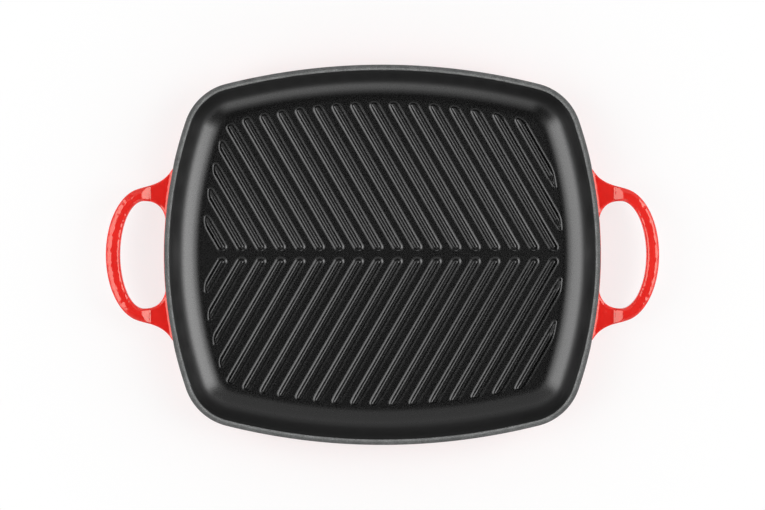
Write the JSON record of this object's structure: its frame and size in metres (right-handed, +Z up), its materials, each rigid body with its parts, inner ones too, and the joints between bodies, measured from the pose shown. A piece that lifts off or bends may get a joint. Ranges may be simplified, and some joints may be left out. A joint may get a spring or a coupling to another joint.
{
  "type": "grill plate",
  "caption": "Enamelled cast-iron grill plate: a shallow rounded tray with a coved wall, a chevron of raised ribs on its floor and a loop handle at each end, for searing food on a hob.",
  "frame": {"origin": "middle of the flat base, on the surface that the plate stands on", "axes": "+X through the two handles, the way the chevrons point; +Y to the back of the hob; +Z up out of the cooking well"},
  "size_m": [0.4572, 0.3128, 0.0347],
  "materials": {
    "cooking_enamel": "satin black enamel fused to cast iron, with a fine grain",
    "rim_enamel": "matte mid-grey ground coat, finely speckled",
    "outer_enamel": "glossy red vitreous enamel coat",
    "handle_enamel": "glossy red vitreous enamel over cast iron"
  },
  "bodies": {
    "root": {"plate_casting": "cooking_enamel", "rim_band": "rim_enamel", "wall_enamel": "outer_enamel", "base_enamel": "outer_enamel", "rib_back_01": "cooking_enamel", "rib_back_02": "cooking_enamel", "rib_back_03": "cooking_enamel", "rib_back_04": "cooking_enamel", "rib_back_05": "cooking_enamel", "rib_back_06": "cooking_enamel", "rib_back_07": "cooking_enamel", "rib_back_08": "cooking_enamel", "rib_back_09": "cooking_enamel", "rib_back_10": "cooking_enamel", "rib_back_11": "cooking_enamel", "rib_back_12": "cooking_enamel", "rib_back_13": "cooking_enamel", "rib_back_14": "cooking_enamel", "rib_back_15": "cooking_enamel", "rib_back_16": "cooking_enamel", "rib_back_17": "cooking_enamel", "rib_back_18": "cooking_enamel", "rib_back_19": "cooking_enamel", "rib_back_20": "cooking_enamel", "rib_front_01": "cooking_enamel", "rib_front_02": "cooking_enamel", "rib_front_03": "cooking_enamel", "rib_front_04": "cooking_enamel", "rib_front_05": "cooking_enamel", "rib_front_06": "cooking_enamel", "rib_front_07": "cooking_enamel", "rib_front_08": "cooking_enamel", "rib_front_09": "cooking_enamel", "rib_front_10": "cooking_enamel", "rib_front_11": "cooking_enamel", "rib_front_12": "cooking_enamel", "rib_front_13": "cooking_enamel", "rib_front_14": "cooking_enamel", "rib_front_15": "cooking_enamel", "rib_front_16": "cooking_enamel", "rib_front_17": "cooking_enamel", "rib_front_18": "cooking_enamel", "rib_front_19": "cooking_enamel", "rib_front_20": "cooking_enamel", "left_handle": "handle_enamel", "right_handle": "handle_enamel"}
  },
  "joints": []
}
